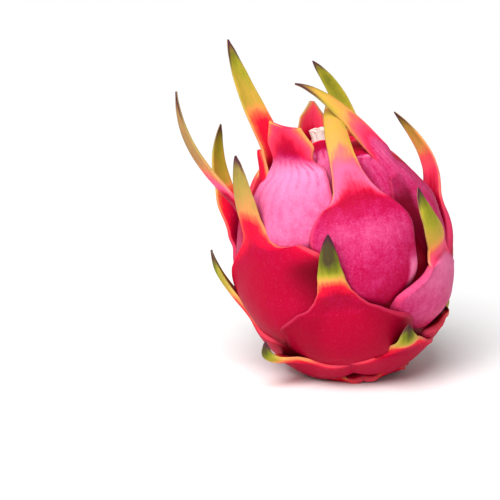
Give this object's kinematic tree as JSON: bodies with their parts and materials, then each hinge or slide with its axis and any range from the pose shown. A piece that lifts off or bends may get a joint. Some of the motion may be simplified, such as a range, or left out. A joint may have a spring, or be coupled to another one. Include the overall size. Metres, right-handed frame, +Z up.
{
  "type": "dragon fruit",
  "caption": "Whole upright fruit: an egg-shaped body clad in fleshy scales that run out into free pointed blades, with a flower stub in its crown.",
  "frame": {"origin": "middle of the small flat spot that the fruit rests on", "axes": "+Z up towards the crown, -Y towards the front"},
  "size_m": [0.124, 0.1181, 0.1485],
  "materials": {
    "skin": "waxy skin, magenta-red, with orange to green blades",
    "withered_flower": "dry and pale, matt"
  },
  "bodies": {
    "root": {"fruit": "skin", "flower_stub": "withered_flower"}
  },
  "joints": []
}
